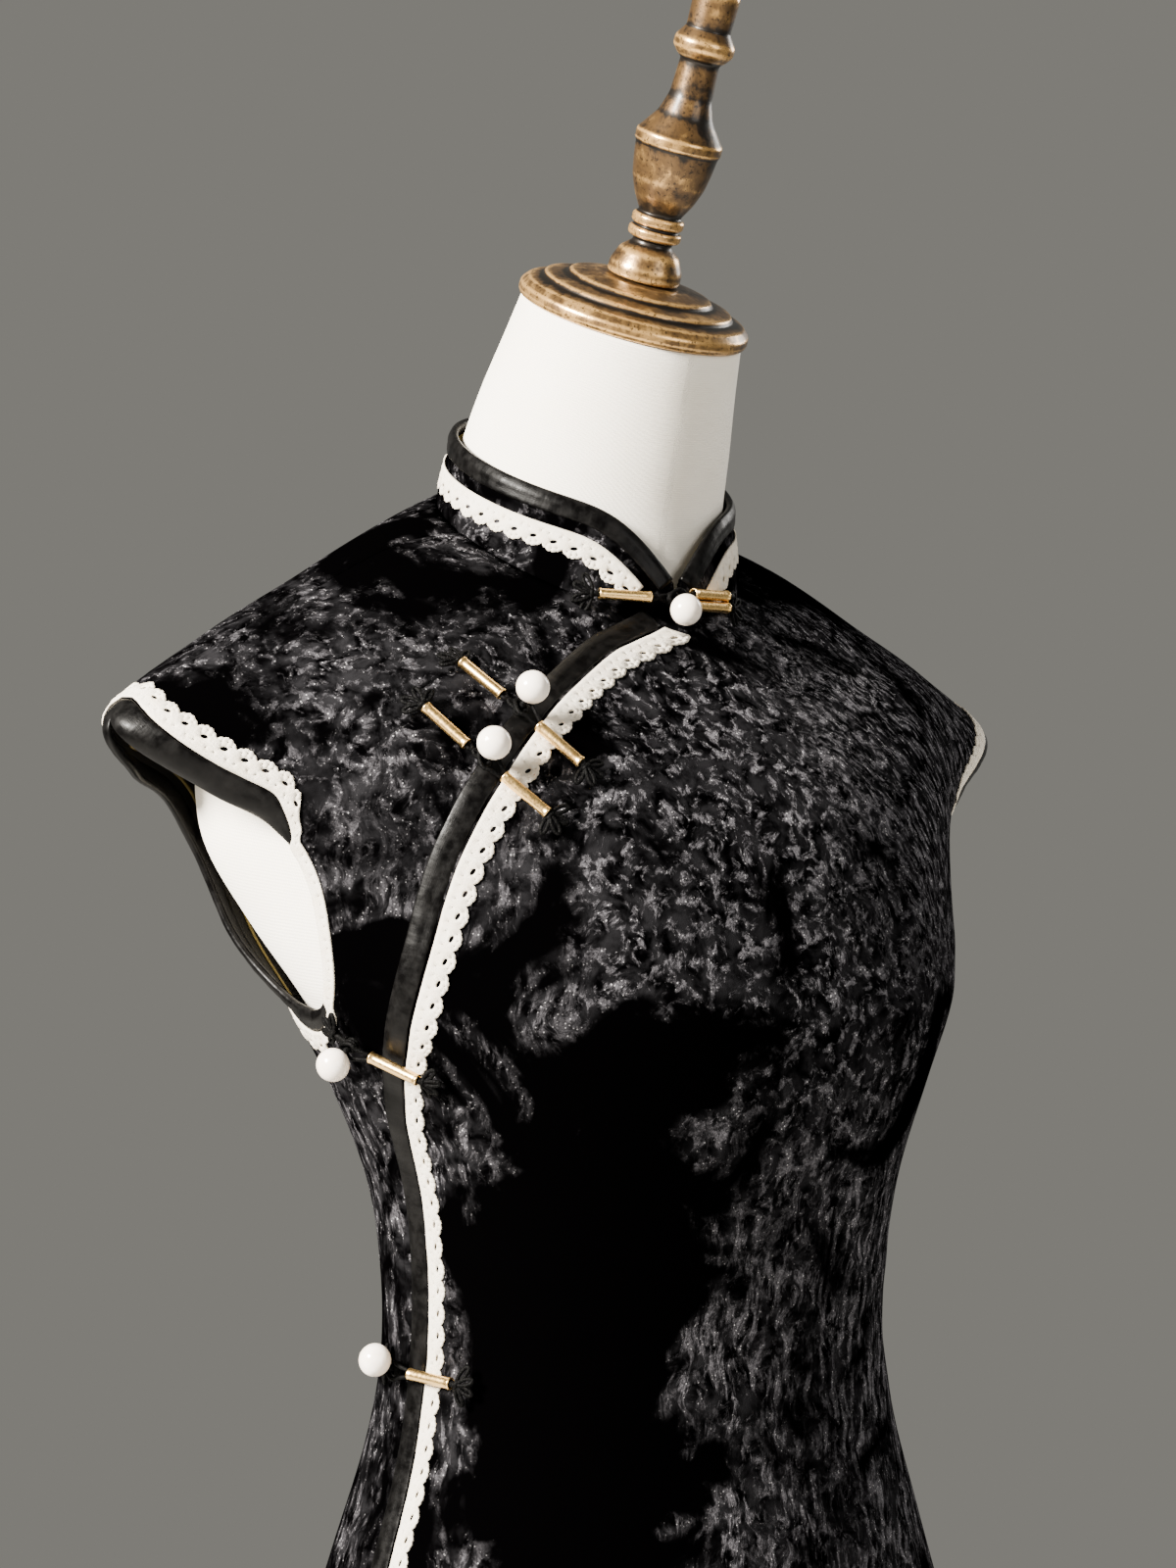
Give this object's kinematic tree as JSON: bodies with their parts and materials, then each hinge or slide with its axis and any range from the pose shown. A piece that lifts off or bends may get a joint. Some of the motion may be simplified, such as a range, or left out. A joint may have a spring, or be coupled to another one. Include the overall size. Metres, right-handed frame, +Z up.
{
  "type": "cheongsam on a limbless dress form",
  "caption": "Fitted mid-calf cheongsam with stand collar, curved side closure, bound and lace-edged openings and frog fastenings, on a limbless dress form with neck finial, pole and round base.",
  "frame": {"origin": "on the floor under the middle of the stand's pole", "axes": "+Z up, -Y the way the dress faces, +X to the wearer's left"},
  "size_m": [0.4616, 0.34, 1.5974],
  "materials": {
    "black_velvet": "crushed velvet with silver-grey nap",
    "black_satin": "satin",
    "cotton_lace": "matte cotton lace",
    "black_cord": "matte cord",
    "pearl": "pearl",
    "gold_tube": "polished",
    "form_cloth": "matte cotton jersey",
    "bronzed_wood": "worn antique bronze paint",
    "stand_metal": "satin antique bronze"
  },
  "bodies": {
    "root": {"front_panel": "black_velvet", "right_front_underlap": "black_velvet", "back_panel": "black_velvet", "collar": "black_velvet", "collar_binding": "black_satin", "collar_lace": "cotton_lace", "front_edge_binding": "black_satin", "front_edge_lace": "cotton_lace", "armhole_binding_right": "black_satin", "armhole_lace_right": "cotton_lace", "armhole_binding_left": "black_satin", "armhole_lace_left": "cotton_lace", "frog_neck_cord_button": "black_cord", "frog_neck_cord_loop": "black_cord", "frog_neck_tube_button": "gold_tube", "frog_neck_tube_loop": "gold_tube", "frog_neck_tube_loop_second": "gold_tube", "frog_neck_pearl": "pearl", "frog_chest_upper_cord_button": "black_cord", "frog_chest_upper_cord_loop": "black_cord", "frog_chest_upper_tube_button": "gold_tube", "frog_chest_upper_tube_loop": "gold_tube", "frog_chest_upper_pearl": "pearl", "frog_chest_lower_cord_button": "black_cord", "frog_chest_lower_cord_loop": "black_cord", "frog_chest_lower_tube_button": "gold_tube", "frog_chest_lower_tube_loop": "gold_tube", "frog_chest_lower_pearl": "pearl", "frog_underarm_cord_button": "black_cord", "frog_underarm_cord_loop": "black_cord", "frog_underarm_tube_loop": "gold_tube", "frog_underarm_pearl": "pearl", "frog_waist_cord_button": "black_cord", "frog_waist_cord_loop": "black_cord", "frog_waist_tube_loop": "gold_tube", "frog_waist_pearl": "pearl", "frog_hip_cord_button": "black_cord", "frog_hip_cord_loop": "black_cord", "frog_hip_tube_loop": "gold_tube", "frog_hip_pearl": "pearl", "frog_thigh_cord_button": "black_cord", "frog_thigh_cord_loop": "black_cord", "frog_thigh_tube_loop": "gold_tube", "frog_thigh_pearl": "pearl", "form_body": "form_cloth", "form_neck_cap": "bronzed_wood", "form_finial": "bronzed_wood", "stand_pole": "stand_metal", "stand_base": "stand_metal"}
  },
  "joints": []
}
